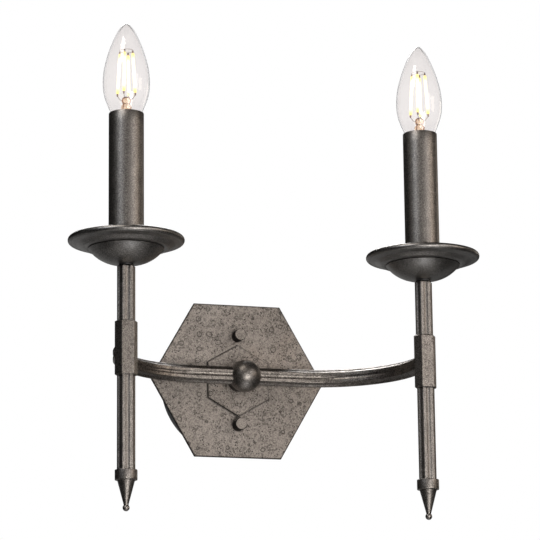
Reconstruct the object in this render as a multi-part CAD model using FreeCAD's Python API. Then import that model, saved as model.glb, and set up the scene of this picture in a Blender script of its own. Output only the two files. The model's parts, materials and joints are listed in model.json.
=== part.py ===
import FreeCAD, Part
import math
import os

# Double arm wall light with two electric candles.
# Frame: origin on the wall, behind the centre of the backplate. +X to the right,
# -Y straight out into the room, +Z up. All sizes in millimetres.

V = FreeCAD.Vector
UP = V(0, 0, 1)
OUT = V(0, -1, 0)

# ------------------------------------------------------------------ driving sizes

# wall bracket, its studs and the cable hole
bracket_length = 90.0
bracket_width = 22.0
bracket_thick = 2.0
bracket_corner = 6.0
slot_spacing = 44.0
slot_width = 5.5
slot_length = 12.0
stud_spacing = 70.0
stud_dia = 4.0
stud_head_dia = 7.6
stud_grip = 7.5
stud_nut_flats = 7.0
stud_nut_height = 3.2
cable_hole_dia = 14.0
grommet_bore = 8.0
grommet_lip = 2.0
grommet_flange_thick = 1.5

# rear canopy, the two hexagonal plates and the thumb nuts
canopy_dia = 106.8
canopy_depth = 28.0
canopy_sheet = 1.2
canopy_edge_radius = 3.0
backplate_flats = 120.0
backplate_thick = 2.0
accent_flats = 48.0
accent_thick = 2.4
plate_chamfer = 0.35
thumb_nut_dia = 9.0
thumb_nut_length = 10.0
thumb_nut_cap = 1.8
thumb_nut_chamfer = 0.5

# hub: neck, ball and the hollow threaded tube that clamps them to the plates
ball_dia = 24.5
neck_dia = 17.4
neck_length = 10.4
hub_tube_dia = 10.0
hub_tube_bore = 7.0
hub_thread_grip = 5.0
hub_nut_flats = 14.0
hub_nut_height = 4.0
hub_washer_dia = 20.0
hub_washer_thick = 1.2
hub_tube_tail = 2.0
arm_socket_depth = 5.4

# fluted, flattened hexagonal tube of the arms and stems
tube_across = 14.0
tube_depth = 9.6
tube_flat = 7.8
tube_edge_radius = 0.7
tube_bore = 7.0
flute_width = 3.2
flute_depth = 0.5

# arms, collars, stems
arm_straight = 40.2
arm_bend_radius = 75.0
arm_run = 12.6
collar_wall = 1.4
collar_height = 40.2
collar_chamfer = 0.6
stem_above = 61.5
stem_below = 89.1
stem_chamfer = 0.8

# finials
finial_ring_dia = 16.4
finial_ring_height = 7.5
finial_ring_chamfer = 0.6
finial_cone_dia = 12.9
finial_tip_dia = 3.4
finial_cone_height = 18.0
finial_bead_dia = 5.1
finial_spigot_length = 10.0

# threaded candle tubes
shoulder_dia = 10.8
shoulder_height = 1.0
candle_tube_dia = 10.0
candle_tube_bore = 5.0
candle_spigot_length = 11.5

# drip cups, radius and height above the underside of the bowl
cup_sheet = 1.2
cup_floor_radius = 6.8
cup_bowl_radius = 19.5
cup_bowl_height = 4.0
cup_crease_radius = 28.0
cup_crease_height = 11.8
cup_ring_radius = 33.2
cup_ring_height = 13.7
cup_shoulder_radius = 39.8
cup_shoulder_height = 15.4
cup_rim_radius = 42.7
cup_rim_height = 18.7
cup_lip_height = 1.1
cup_lip_lean = 0.9
cup_lip_width = 1.14
cup_lip_fall = 0.3
cup_lip_crown = 0.24

# seats, locknuts and candle sleeves
seat_boss_height = 2.3
seat_flange_thick = 1.2
seat_lip_height = 2.0
candle_nut_flats = 14.0
candle_nut_height = 3.0
sleeve_dia = 26.0
sleeve_wall = 1.0
sleeve_length = 109.7
sleeve_edge = 0.3

# lampholders for the small candle screw cap
holder_dia = 22.4
holder_sink = 6.0
holder_grip = 6.0
holder_base = 13.0
holder_mouth_depth = 2.7
holder_mouth_extra = 0.4
shell_sheet = 0.4
shell_height = 19.0
shell_drop = 3.9
contact_radius = 4.0
contact_height = 3.0
contact_thick = 0.8

# candle lamps
cap_dia = 13.9
cap_sheet = 0.5
cap_length = 24.4
cap_flare_dia = 16.8
cap_flare_height = 1.6
cap_thread_pitch = 2.82
cap_thread_turns = 6
cap_thread_depth = 0.35
cap_stub_height = 3.2
insulator_height = 2.0
insulator_tip_dia = 6.0
lamp_contact_dia = 4.8
lamp_contact_tip_dia = 2.9
lamp_contact_height = 1.0
lamp_rise = 0.5
glass_wall = 0.7
glass_height = 75.0
glass_neck_radius = 8.6
glass_throat_radius = 13.6
glass_throat_height = 10.9
glass_widest_radius = 17.4
glass_widest_height = 27.6
glass_shoulder_radius = 14.2
glass_shoulder_height = 49.3
glass_nose_radius = 7.3
glass_nose_height = 66.2
glass_nose_bulge = 0.35
glass_nose_lift = 0.2
glass_tip_radius = 2.4
glass_tip_drop = 1.7
mount_flare_radius = 5.6
mount_flare_height = 2.1
mount_waist_radius = 4.6
mount_waist_height = 6.4
mount_stem_radius = 4.0
mount_stem_height = 18.4
filament_dia = 1.7
filament_length_up = 31.0
filament_foot_height = 20.8
filament_foot_radius = 6.8
filament_head_radius = 5.0
filament_turn = 61.0
filament_count = 4
wire_dia = 0.5
wire_ring_rise = 2.0
wire_ring_width = 1.2

# wiring and the terminal block
lead_dia = 3.0
lead_offset = 1.6
lead_turn_radius = 3.5
lead_stem_radius = 4.0
lead_step = 4.5
earth_lead_dia = 2.2
earth_turn_radius = 4.0
block_width = 16.0
block_height = 30.0
block_depth = 18.6
block_side = 18.0
block_poles = 3
block_pole_pitch = 10.0
block_screw_dia = 3.8
block_screw_length = 4.5
block_fixing_dia = 3.0
earth_pillar_dia = 7.0
earth_pillar_height = 5.0
earth_pillar_side = 7.0
earth_pillar_drop = 12.5

# clearances
thread_fit = 0.05
hole_fit = 0.1
stud_hole_fit = 0.5
wire_hole_fit = 1.0
lamp_fit = 0.1
seat_gap = 0.05
slip_fit = 0.1

# ------------------------------------------------------------------ derived places

y_canopy_front = -canopy_depth
y_canopy_floor = y_canopy_front + canopy_sheet
y_plate_front = y_canopy_front - backplate_thick
y_accent_front = y_plate_front - accent_thick
ball_radius = ball_dia / 2
ball_flat = math.sqrt(ball_radius ** 2 - (neck_dia / 2) ** 2)
y_ball = y_accent_front - neck_length - ball_flat
y_candle = y_ball - arm_bend_radius - arm_run
candle_offset = arm_straight + arm_bend_radius

z_cup = stem_above + shoulder_height
z_cup_floor = z_cup + cup_sheet
z_sleeve = z_cup_floor + seat_boss_height + seat_flange_thick
z_seat_top = z_sleeve + seat_lip_height
z_sleeve_top = z_sleeve + sleeve_length
z_holder_top = z_sleeve_top - holder_sink
z_lamp = z_holder_top + lamp_rise
z_lamp_contact = z_lamp - cap_length - insulator_height - lamp_contact_height
z_holder_floor = z_lamp_contact - seat_gap - contact_height
z_holder_bottom = z_holder_floor - holder_base
sleeve_bore_radius = sleeve_dia / 2 - sleeve_wall
socket_radius = cap_dia / 2 + lamp_fit

# ------------------------------------------------------------------ helpers


def turned(start, steps, base=V(0, 0, 0), axis=UP):
    """Solid turned about an axis. start and steps are (radius, height) points;
    a step of two points is an arc through the first to the second."""
    here = V(start[0], 0, start[1])
    first = here
    edges = []
    for step in steps:
        if isinstance(step[0], tuple):
            middle = V(step[0][0], 0, step[0][1])
            there = V(step[1][0], 0, step[1][1])
            edges.append(Part.Arc(here, middle, there).toShape())
        else:
            there = V(step[0], 0, step[1])
            edges.append(Part.makeLine(here, there))
        here = there
    if here.distanceToPoint(first) > 1e-6:
        edges.append(Part.makeLine(here, first))
    solid = Part.Face(Part.Wire(edges)).revolve(V(0, 0, 0), UP, 360)
    return placed(solid, base, axis)


def placed(solid, base, axis):
    """The solid with its own Z turned to the axis and its origin at the base."""
    turn = FreeCAD.Rotation(UP, axis)
    solid.Placement = FreeCAD.Placement(base, turn)
    return solid


def rod(radius, length, base, axis=UP):
    return Part.makeCylinder(radius, length, base, axis)


def block(x, y, z):
    """Box between the two values of x, of y and of z."""
    return Part.makeBox(x[1] - x[0], y[1] - y[0], z[1] - z[0], V(x[0], y[0], z[0]))


def hexagon_prism(flats, length, base, axis=UP, corner_angle=0.0):
    """Hexagonal prism, flats apart, with a corner at corner_angle round its axis."""
    radius = flats / math.sqrt(3)
    angles = [math.radians(corner_angle + 60 * i) for i in range(7)]
    points = [V(radius * math.cos(a), radius * math.sin(a), 0) for a in angles]
    prism = Part.Face(Part.makePolygon(points)).extrude(V(0, 0, length))
    return placed(prism, base, axis)


def nut(flats, height, hole_dia, base, axis=UP):
    bore = rod(hole_dia / 2 + thread_fit, height, base, axis)
    return hexagon_prism(flats, height, base, axis, 30.0).cut(bore)


def tube_corners(grow):
    """Corners (across, depth) of the flattened hexagon, moved outwards by grow."""
    half_across = tube_across / 2
    half_depth = tube_depth / 2
    shoulder = half_across - tube_flat / 2
    slope = math.hypot(half_depth, shoulder)
    tip = half_across + grow * slope / half_depth
    flat = tube_flat / 2 + grow * (slope - shoulder) / half_depth
    side = half_depth + grow
    return [(tip, 0), (flat, side), (-flat, side), (-tip, 0), (-flat, -side), (flat, -side)]


def tube_outline(place, grow=0.0, fluted=True, edge_radius=tube_edge_radius):
    """Closed outline of the tube; place turns (across, depth) into a point."""
    corners = [V(a, b, 0) for a, b in tube_corners(grow)]
    count = len(corners)
    starts, middles, ends = [], [], []
    for i, corner in enumerate(corners):
        back = (corners[i - 1] - corner).normalize()
        ahead = (corners[(i + 1) % count] - corner).normalize()
        half_angle = back.getAngle(ahead) / 2
        inward = (back + ahead).normalize()
        centre = corner + inward * (edge_radius / math.sin(half_angle))
        cut_back = edge_radius / math.tan(half_angle)
        starts.append(corner + back * cut_back)
        middles.append(centre - inward * edge_radius)
        ends.append(corner + ahead * cut_back)
    edges = []
    for i, corner in enumerate(corners):
        after = (i + 1) % count
        edges.append(Part.Arc(place(starts[i]), place(middles[i]), place(ends[i])).toShape())
        if not fluted:
            edges.append(Part.makeLine(place(ends[i]), place(starts[after])))
            continue
        middle = (corner + corners[after]) * 0.5
        along = (corners[after] - corner).normalize()
        inward = V(-along.y, along.x, 0)
        lip_a = middle - along * (flute_width / 2)
        lip_b = middle + along * (flute_width / 2)
        bottom = middle + inward * flute_depth
        edges.append(Part.makeLine(place(ends[i]), place(lip_a)))
        edges.append(Part.Arc(place(lip_a), place(bottom), place(lip_b)).toShape())
        edges.append(Part.makeLine(place(lip_b), place(starts[after])))
    return Part.Wire(edges)


def upright(side, z):
    """Places a tube section level, round a candle axis at height z."""
    return lambda p: V(side * candle_offset + p.x, y_candle + p.y, z)


def upright_tube(side, low, high, chamfers, grow=0.0, fluted=True):
    """Upright length of hexagonal tube, its two ends chamfered."""
    chamfer_low, chamfer_high = chamfers
    sections = [(low + chamfer_low, high - chamfer_high)]
    body = Part.Face(tube_outline(upright(side, sections[0][0]), grow, fluted))
    solid = body.extrude(V(0, 0, sections[0][1] - sections[0][0]))
    for chamfer, wide, narrow in ((chamfer_low, low + chamfer_low, low),
                                  (chamfer_high, high - chamfer_high, high)):
        if chamfer > 0:
            rings = [tube_outline(upright(side, wide), grow, fluted),
                     tube_outline(upright(side, narrow), grow - chamfer, fluted)]
            solid = solid.fuse(Part.makeLoft(rings, True, True))
    return solid.removeSplitter()


def rounded_path(points, radii):
    """Wire of straight runs joined by tangent arcs, one radius at each inner point."""
    edges = []
    here = points[0]
    for i, radius in enumerate(radii, start=1):
        corner = points[i]
        back = (points[i - 1] - corner).normalize()
        ahead = (points[i + 1] - corner).normalize()
        half_angle = back.getAngle(ahead) / 2
        inward = (back + ahead).normalize()
        centre = corner + inward * (radius / math.sin(half_angle))
        start = corner + back * (radius / math.tan(half_angle))
        end = corner + ahead * (radius / math.tan(half_angle))
        if here.distanceToPoint(start) > 1e-6:
            edges.append(Part.makeLine(here, start))
        edges.append(Part.Arc(start, centre - inward * radius, end).toShape())
        here = end
    edges.append(Part.makeLine(here, points[-1]))
    return Part.Wire(edges)


def cable(points, radii, dia):
    """Round cable of one diameter along a rounded path."""
    path = rounded_path(points, radii)
    heading = (points[1] - points[0]).normalize()
    ring = Part.Wire(Part.makeCircle(dia / 2, points[0], heading))
    return path.makePipeShell([ring], True, False)


def both_studs():
    """Where the two studs stand, as (x, z)."""
    return [(0, stud_spacing / 2), (0, -stud_spacing / 2)]


def drilled(solid, dia, x, z):
    """The solid with a hole right through it, square to the wall."""
    reach = canopy_depth + backplate_thick + accent_thick
    return solid.cut(rod(dia / 2, 3 * reach, V(x, reach, z), OUT))


# ------------------------------------------------------------------ wall side


def make_wall_bracket():
    bar = block((-bracket_width / 2, bracket_width / 2), (-bracket_thick, 0),
                (-bracket_length / 2, bracket_length / 2))
    ends = [e for e in bar.Edges if abs(e.tangentAt(e.FirstParameter).y) > 0.99]
    bar = bar.makeFillet(bracket_corner, ends)
    bar = drilled(bar, cable_hole_dia, 0, 0)
    bar = drilled(bar, 2 * (earth_pillar_dia / 4 + thread_fit), earth_pillar_side, -earth_pillar_drop)
    half_run = (slot_length - slot_width) / 2
    for side in (-1, 1):
        middle = side * slot_spacing / 2
        for end in (-half_run, half_run):
            bar = drilled(bar, slot_width, 0, middle + end)
        bar = bar.cut(block((-slot_width / 2, slot_width / 2), (-2 * bracket_thick, bracket_thick),
                            (middle - half_run, middle + half_run)))
    for x, z in both_studs():
        bar = bar.cut(stud_shape(x, z, thread_fit))
    return bar


def stud_shape(x, z, grow=0.0):
    """Countersunk stud that points out of the wall; grow gives the hole it needs."""
    radius = stud_dia / 2 + grow
    head = stud_head_dia / 2 + grow
    length = canopy_depth + backplate_thick + stud_grip
    return turned((0, 0), [(head, 0), (radius, head - radius), (radius, length), (0, length)],
                  V(x, 0, z), OUT)


def make_bracket_studs():
    return Part.makeCompound([stud_shape(x, z) for x, z in both_studs()])


def make_stud_locknuts():
    return Part.makeCompound([nut(stud_nut_flats, stud_nut_height, stud_dia,
                                  V(x, -bracket_thick, z), OUT) for x, z in both_studs()])


def make_cable_grommet():
    body = cable_hole_dia / 2 - hole_fit
    flange = cable_hole_dia / 2 + grommet_lip
    height = bracket_thick + grommet_flange_thick
    return turned((grommet_bore / 2, 0), [(body, 0), (body, bracket_thick), (flange, bracket_thick),
                                          (flange, height), (grommet_bore / 2, height)],
                  V(0, 0, 0), OUT)


def make_earth_pillar():
    base = V(earth_pillar_side, 0, -earth_pillar_drop)
    radius = earth_pillar_dia / 2
    top = bracket_thick + earth_pillar_height
    hole = earth_lead_dia / 2 + hole_fit
    return turned((0, 0), [(radius / 2, 0), (radius / 2, bracket_thick), (radius, bracket_thick),
                           (radius, top), (hole, top), (hole, top - earth_pillar_height / 2),
                           (0, top - earth_pillar_height / 2)], base, OUT)


# ------------------------------------------------------------------ canopy and plates


def make_rear_canopy():
    radius = canopy_dia / 2
    inside = radius - canopy_sheet
    floor = canopy_depth - canopy_sheet
    edge = canopy_edge_radius
    bend = edge - canopy_sheet
    shift = edge * (1 - math.sqrt(0.5))
    shift_inside = canopy_sheet + shift * bend / edge
    shell = turned((inside, 0), [(radius, 0), (radius, canopy_depth - edge),
                                 ((radius - shift, canopy_depth - shift), (radius - edge, canopy_depth)),
                                 (0, canopy_depth), (0, floor), (inside - bend, floor),
                                 ((radius - shift_inside, canopy_depth - shift_inside),
                                  (inside, floor - bend))],
                   V(0, 0, 0), OUT)
    shell = drilled(shell, hub_tube_dia + 2 * hole_fit, 0, 0)
    shell = shell.cut(fixing_screw_hole())
    for x, z in both_studs():
        shell = drilled(shell, stud_dia + 2 * stud_hole_fit, x, z)
    return shell


def plate(flats, thick, y_front, corner_angle):
    """Hexagonal plate, upright, its front edges lightly chamfered."""
    solid = hexagon_prism(flats, thick, V(0, y_front + thick, 0), OUT, corner_angle)
    front = [e for e in solid.Edges if max(abs(v.Y - y_front) for v in e.Vertexes) < 1e-6]
    solid = solid.makeChamfer(plate_chamfer, front)
    return drilled(solid, hub_tube_dia + 2 * hole_fit, 0, 0)


def make_hex_backplate():
    solid = plate(backplate_flats, backplate_thick, y_plate_front, 0.0)
    for x, z in both_studs():
        solid = drilled(solid, stud_dia + 2 * stud_hole_fit, x, z)
    return solid


def make_hex_accent_plate():
    return plate(accent_flats, accent_thick, y_accent_front, 30.0)


def make_thumb_nut(side):
    radius = thumb_nut_dia / 2
    bore = stud_dia / 2 + thread_fit
    chamfer = thumb_nut_chamfer
    depth = thumb_nut_length - thumb_nut_cap
    base = V(0, y_plate_front - seat_gap, side * stud_spacing / 2)
    return turned((bore, 0), [(radius, 0), (radius, thumb_nut_length - chamfer),
                              (radius - chamfer, thumb_nut_length), (0, thumb_nut_length),
                              (0, depth), (bore, depth)], base, OUT)


# ------------------------------------------------------------------ hub


def make_hub_neck():
    base = V(0, y_accent_front, 0)
    bore = rod(hub_tube_dia / 2 + hole_fit, neck_length, base, OUT)
    return rod(neck_dia / 2, neck_length, base, OUT).cut(bore)


def make_hub_ball():
    """Ball with a flat back on the neck, a plain hexagonal socket for each arm and wiring bores."""
    centre = V(0, y_ball, 0)
    flat_latitude = math.degrees(math.asin(ball_flat / ball_radius))
    ball = Part.makeSphere(ball_radius, centre, OUT, -flat_latitude, 90, 360)
    ball.rotate(centre, OUT, 90)
    for side in (-1, 1):
        x = side * arm_socket_depth
        seat = Part.Face(tube_outline(lambda p: V(x, y_ball + p.y, p.x), thread_fit, False))
        ball = ball.cut(seat.extrude(V(side * ball_radius, 0, 0)))
    ball = ball.cut(rod(tube_bore / 2, ball_dia, V(-ball_radius, y_ball, 0), V(1, 0, 0)))
    return ball.cut(rod(hub_tube_dia / 2 + thread_fit, ball_radius, centre, V(0, 1, 0)))


def make_hub_tube():
    front = y_ball + ball_flat - hub_thread_grip
    back = y_canopy_floor + hub_washer_thick + hub_nut_height + hub_tube_tail
    base = V(0, back, 0)
    bore = rod(hub_tube_bore / 2, back - front, base, OUT)
    return rod(hub_tube_dia / 2, back - front, base, OUT).cut(bore)


def make_hub_washer():
    base = V(0, y_canopy_floor + hub_washer_thick, 0)
    bore = rod(hub_tube_dia / 2 + hole_fit, hub_washer_thick, base, OUT)
    return rod(hub_washer_dia / 2, hub_washer_thick, base, OUT).cut(bore)


def make_hub_locknut():
    base = V(0, y_canopy_floor + hub_washer_thick + hub_nut_height, 0)
    return nut(hub_nut_flats, hub_nut_height, hub_tube_dia, base, OUT)


# ------------------------------------------------------------------ arms, collars, stems


def arm_run_of(outline, start):
    """Sweep of a section along the arm: straight, quarter bend, straight."""
    bend_axis = V(arm_straight, y_ball - arm_bend_radius, 0)
    first = Part.Face(outline(lambda p: V(start, y_ball + p.y, p.x)))
    bend = Part.Face(outline(lambda p: V(arm_straight, y_ball + p.y, p.x)))
    last = Part.Face(outline(lambda p: V(candle_offset + p.y, y_ball - arm_bend_radius, p.x)))
    runs = [first.extrude(V(arm_straight - start, 0, 0)),
            bend.revolve(bend_axis, V(0, 0, -1), 90),
            last.extrude(V(0, -arm_run, 0))]
    return runs[0].fuse(runs[1:]).removeSplitter()


def bore_outline(place):
    """Round bore of the tube as an outline in two half circles."""
    r = tube_bore / 2
    quarters = [place(V(r * math.cos(a), r * math.sin(a), 0))
                for a in (0, math.pi / 2, math.pi, 3 * math.pi / 2)]
    return Part.Wire([Part.Arc(quarters[0], quarters[1], quarters[2]).toShape(),
                      Part.Arc(quarters[2], quarters[3], quarters[0]).toShape()])


def make_arm(side):
    arm = arm_run_of(tube_outline, arm_socket_depth)
    arm = arm.cut(arm_run_of(bore_outline, arm_socket_depth))
    collar_body = Part.Face(tube_outline(upright(1, -collar_height), collar_wall, False))
    arm = arm.cut(collar_body.extrude(V(0, 0, 2 * collar_height)))
    return arm if side > 0 else arm.mirror(V(0, 0, 0), V(1, 0, 0))


def lead_hole(side):
    """Hole through the backs of the collar and the stem for the lead."""
    return rod(lead_dia / 2 + wire_hole_fit, tube_depth, V(side * candle_offset, y_candle, 0),
               V(0, 1, 0))


def make_collar(side):
    half = collar_height / 2
    chamfers = (collar_chamfer, collar_chamfer)
    collar = upright_tube(side, -half, half, chamfers, collar_wall, False)
    hole = Part.Face(tube_outline(upright(side, -collar_height), thread_fit, False))
    collar = collar.cut(hole.extrude(V(0, 0, 2 * collar_height)))
    return collar.cut(lead_hole(side))


def make_stem(side):
    stem = upright_tube(side, -stem_below, stem_above, (0, stem_chamfer))
    length = stem_below + stem_above
    bore = rod(tube_bore / 2, length, V(side * candle_offset, y_candle, -stem_below))
    return stem.cut(bore).cut(lead_hole(side))


def make_finial(side):
    spigot = tube_bore / 2 - thread_fit
    ring = finial_ring_dia / 2
    chamfer = finial_ring_chamfer
    low = -finial_ring_height
    tip = low - finial_cone_height
    bead = finial_bead_dia / 2
    neck = finial_tip_dia / 2
    bead_centre = tip - math.sqrt(bead ** 2 - neck ** 2)
    base = V(side * candle_offset, y_candle, -stem_below)
    return turned((0, finial_spigot_length),
                  [(spigot, finial_spigot_length), (spigot, 0), (ring - chamfer, 0),
                   (ring, -chamfer), (ring, low + chamfer), (ring - chamfer, low),
                   (finial_cone_dia / 2, low), (neck, tip),
                   ((bead, bead_centre), (0, bead_centre - bead))], base)


def make_candle_tube(side):
    spigot = tube_bore / 2 - thread_fit
    bore = candle_tube_bore / 2
    top = z_holder_bottom + holder_grip - stem_above
    base = V(side * candle_offset, y_candle, stem_above)
    return turned((bore, -candle_spigot_length),
                  [(spigot, -candle_spigot_length), (spigot, 0), (shoulder_dia / 2, 0),
                   (shoulder_dia / 2, shoulder_height), (candle_tube_dia / 2, shoulder_height),
                   (candle_tube_dia / 2, top), (bore, top)], base)


# ------------------------------------------------------------------ cups and sleeves


def offset_point(point, angle, distance):
    """The point moved by distance in the direction angle, in degrees from outwards."""
    turn = math.radians(angle)
    return (point[0] + distance * math.cos(turn), point[1] + distance * math.sin(turn))


def make_drip_cup(side):
    floor = (cup_floor_radius, 0)
    bowl = (cup_bowl_radius, cup_bowl_height)
    crease = (cup_crease_radius, cup_crease_height)
    ring = (cup_ring_radius, cup_ring_height)
    shoulder = (cup_shoulder_radius, cup_shoulder_height)
    rim = (cup_rim_radius, cup_rim_height)
    lip = (cup_rim_radius - cup_lip_lean, cup_rim_height + cup_lip_height)
    inner_lip = (lip[0] - cup_lip_width, lip[1] - cup_lip_fall)
    crown = ((lip[0] + inner_lip[0]) / 2, lip[1] + cup_lip_crown)
    hole = candle_tube_dia / 2 + hole_fit
    base = V(side * candle_offset, y_candle, z_cup)
    return turned((hole, 0),
                  [floor, (bowl, crease), (ring, shoulder), (rim, lip), (crown, inner_lip),
                   (offset_point(rim, 175, cup_sheet), offset_point(shoulder, 118, cup_sheet)),
                   (offset_point(ring, 102, cup_sheet), offset_point(crease, 122, cup_sheet)),
                   (offset_point(bowl, 120, cup_sheet), offset_point(floor, 90, cup_sheet)),
                   (hole, cup_sheet)], base)


def make_sleeve_seat(side):
    hole = candle_tube_dia / 2 + hole_fit
    boss = cup_floor_radius - slip_fit
    flange = sleeve_dia / 2 - slip_fit
    lip = sleeve_bore_radius - slip_fit
    levels = (0, seat_boss_height, seat_boss_height + seat_flange_thick,
              seat_boss_height + seat_flange_thick + seat_lip_height)
    base = V(side * candle_offset, y_candle, z_cup_floor)
    return turned((hole, levels[0]),
                  [(boss, levels[0]), (boss, levels[1]), (flange, levels[1]), (flange, levels[2]),
                   (lip, levels[2]), (lip, levels[3]), (hole, levels[3])], base)


def make_seat_nut(side):
    base = V(side * candle_offset, y_candle, z_seat_top)
    return nut(candle_nut_flats, candle_nut_height, candle_tube_dia, base)


def make_candle_sleeve(side):
    radius = sleeve_dia / 2
    bore = sleeve_bore_radius
    top = sleeve_length - seat_gap
    base = V(side * candle_offset, y_candle, z_sleeve + seat_gap)
    return turned((bore, 0), [(radius, 0), (radius, top - sleeve_edge), (radius - sleeve_edge, top),
                              (bore + sleeve_edge, top), (bore, top - sleeve_edge)], base)


# ------------------------------------------------------------------ lampholders


def make_lampholder(side):
    """Moulded holder: a deep socket with a wider mouth, over a base that grips the tube."""
    outer = holder_dia / 2
    cavity = socket_radius + shell_sheet + thread_fit
    mouth = cap_flare_dia / 2 + holder_mouth_extra
    grip = candle_tube_dia / 2 + thread_fit
    wire = candle_tube_bore / 2
    top = z_holder_top - z_holder_bottom
    return turned((grip, 0),
                  [(outer, 0), (outer, top), (mouth, top), (mouth, top - holder_mouth_depth),
                   (cavity, top - holder_mouth_depth), (cavity, holder_base), (wire, holder_base),
                   (wire, holder_grip), (grip, holder_grip)],
                  V(side * candle_offset, y_candle, z_holder_bottom))


def make_socket_shell(side):
    bottom = z_holder_top - shell_drop - shell_height
    base = V(side * candle_offset, y_candle, bottom)
    outer = rod(socket_radius + shell_sheet, shell_height, base)
    return outer.cut(rod(socket_radius, shell_height, base))


def make_socket_contact(side):
    """Brass disc on the socket floor with a centre post that meets the lamp."""
    post = lamp_contact_dia / 2
    return turned((0, 0), [(contact_radius, 0), (contact_radius, contact_thick),
                           (post, contact_thick), (post, contact_height), (0, contact_height)],
                  V(side * candle_offset, y_candle, z_holder_floor))


# ------------------------------------------------------------------ lamps


def lamp_base(side):
    return V(side * candle_offset, y_candle, z_lamp)


def make_lamp_cap(side):
    """Rolled screw shell: a flare on top, rounded thread ridges, a plain stub below."""
    crest = cap_dia / 2
    root = crest - cap_thread_depth
    inside = root - cap_sheet
    flare = cap_flare_dia / 2
    thread_low = -cap_length + cap_stub_height
    steps = [(root, -cap_length), (root, thread_low)]
    for turn in range(cap_thread_turns):
        low = thread_low + turn * cap_thread_pitch
        steps.append(((crest, low + cap_thread_pitch / 2), (root, low + cap_thread_pitch)))
    steps += [(root, -cap_flare_height), (flare, -cap_flare_height / 2), (flare, 0),
              (flare - cap_sheet, 0), (inside, -cap_flare_height)]
    return turned((inside, -cap_length), steps, lamp_base(side))


def make_lamp_insulator(side):
    plug = cap_dia / 2 - cap_thread_depth - cap_sheet
    root = plug + cap_sheet
    tip = insulator_tip_dia / 2
    top = insulator_height
    base = lamp_base(side) - V(0, 0, cap_length + insulator_height)
    return turned((0, 0), [(tip, 0), (root, top), (plug, top), (plug, 2 * top), (0, 2 * top)], base)


def make_lamp_contact(side):
    radius = lamp_contact_dia / 2
    base = V(side * candle_offset, y_candle, z_lamp_contact)
    return turned((0, 0), [(lamp_contact_tip_dia / 2, 0), (radius, lamp_contact_height / 2),
                           (radius, lamp_contact_height), (0, lamp_contact_height)], base)


def dome_middle(radius, rise, top):
    """Point halfway along a round dome of that base radius and rise, under its top."""
    sphere = (radius ** 2 + rise ** 2) / (2 * rise)
    half_angle = math.atan2(radius, sphere - rise) / 2
    return (sphere * math.sin(half_angle), top - sphere + sphere * math.cos(half_angle))


def glass_outline(inset):
    """Radius and height points of the candle glass, drawn in by inset."""
    tip = (glass_tip_radius, glass_height - glass_tip_drop - inset)
    return {"neck": (glass_neck_radius - inset, 0),
            "throat": (glass_throat_radius - inset, glass_throat_height),
            "widest": (glass_widest_radius - inset, glass_widest_height),
            "shoulder": (glass_shoulder_radius - inset, glass_shoulder_height),
            "nose": (glass_nose_radius - inset, glass_nose_height),
            "tip": tip,
            "dome": dome_middle(glass_tip_radius, glass_tip_drop, glass_height - inset),
            "top": (0, glass_height - inset)}


def nose_middle(outline):
    """Point a little outside the straight line from the nose to the tip."""
    nose, tip = outline["nose"], outline["tip"]
    return ((nose[0] + tip[0]) / 2 + glass_nose_bulge, (nose[1] + tip[1]) / 2 + glass_nose_lift)


def make_lamp_glass(side):
    out = glass_outline(0.0)
    inner = glass_outline(glass_wall)
    steps = [(out["throat"], out["widest"]), (out["shoulder"], out["nose"]),
             (nose_middle(out), out["tip"]), (out["dome"], out["top"]),
             inner["top"], (inner["dome"], inner["tip"]), (nose_middle(inner), inner["nose"]),
             (inner["shoulder"], inner["widest"]), (inner["throat"], inner["neck"])]
    return turned(out["neck"], steps, lamp_base(side))


def make_lamp_stem(side):
    """Glass foot that carries the filaments, flared out to meet the envelope."""
    flare = glass_neck_radius - glass_wall - seat_gap
    stem = mount_stem_radius
    height = mount_stem_height
    return turned((0, 0), [(flare, 0), (flare, glass_wall),
                           ((mount_flare_radius, mount_flare_height),
                            (mount_waist_radius, mount_waist_height)),
                           (stem, height - stem),
                           (dome_middle(stem, stem, height), (0, height))], lamp_base(side))


def filament_ends(side):
    """Foot and head of each glowing rod."""
    base = lamp_base(side)
    ends = []
    for i in range(filament_count):
        angle = math.radians(filament_turn + 360 / filament_count * i)
        way = V(math.cos(angle), math.sin(angle), 0)
        foot = base + way * filament_foot_radius + UP * filament_foot_height
        head = base + way * filament_head_radius + UP * (filament_foot_height + filament_length_up)
        ends.append((foot, head))
    return ends


def make_lamp_filaments(side):
    rods = []
    for foot, head in filament_ends(side):
        along = head - foot
        rods.append(rod(filament_dia / 2, along.Length, foot, along))
    return Part.makeCompound(rods)


def make_lamp_wires(side):
    """Wires from the glass foot to each rod, and the flat ring that joins their heads."""
    base = lamp_base(side)
    crown = base + UP * (filament_foot_height + filament_length_up + wire_ring_rise)
    outside = filament_head_radius + wire_ring_width / 2
    inside = filament_head_radius - wire_ring_width / 2
    under = crown - UP * wire_dia / 2
    ring = rod(outside, wire_dia, under).cut(rod(inside, wire_dia, under))
    pieces = [ring]
    post_height = mount_stem_height - mount_stem_radius
    for foot, head in filament_ends(side):
        out = V(foot.x - base.x, foot.y - base.y, 0).normalize()
        start = base + out * (mount_stem_radius - wire_dia) + UP * post_height
        reach = foot - start
        pieces.append(rod(wire_dia / 2, reach.Length, start, reach))
        climb = crown + out * filament_head_radius - head
        pieces.append(rod(wire_dia / 2, climb.Length, head, climb))
    wires = pieces[0].fuse(pieces[1:])
    for solid in make_lamp_filaments(side).Solids + [make_lamp_stem(side)]:
        wires = wires.cut(solid)
    return wires


# ------------------------------------------------------------------ wiring


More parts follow.
